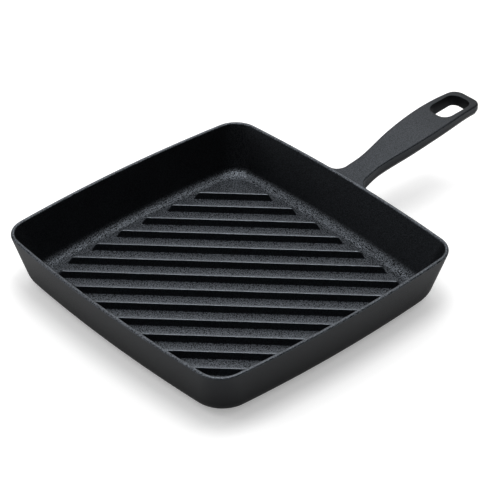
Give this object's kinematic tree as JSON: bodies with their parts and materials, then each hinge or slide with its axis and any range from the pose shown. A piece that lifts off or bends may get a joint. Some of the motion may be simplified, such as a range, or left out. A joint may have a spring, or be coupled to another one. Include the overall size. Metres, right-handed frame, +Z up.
{
  "type": "square grill pan",
  "caption": "Square cast-iron grill pan with leaning bowed walls, diagonal ribs across the floor and an arched handle with a hanging hole.",
  "frame": {"origin": "centre of the flat base, on the table", "axes": "+X towards the tip of the handle, +Z up"},
  "size_m": [0.3946, 0.2644, 0.0661],
  "materials": {
    "cast_iron": "seasoned black, satin-matte sand-cast grain"
  },
  "bodies": {
    "root": {"pan_body": "cast_iron", "handle": "cast_iron", "rib_01": "cast_iron", "rib_02": "cast_iron", "rib_03": "cast_iron", "rib_04": "cast_iron", "rib_05": "cast_iron", "rib_06": "cast_iron", "rib_07": "cast_iron", "rib_08": "cast_iron", "rib_09": "cast_iron", "rib_10": "cast_iron", "rib_11": "cast_iron", "rib_12": "cast_iron", "rib_13": "cast_iron"}
  },
  "joints": []
}
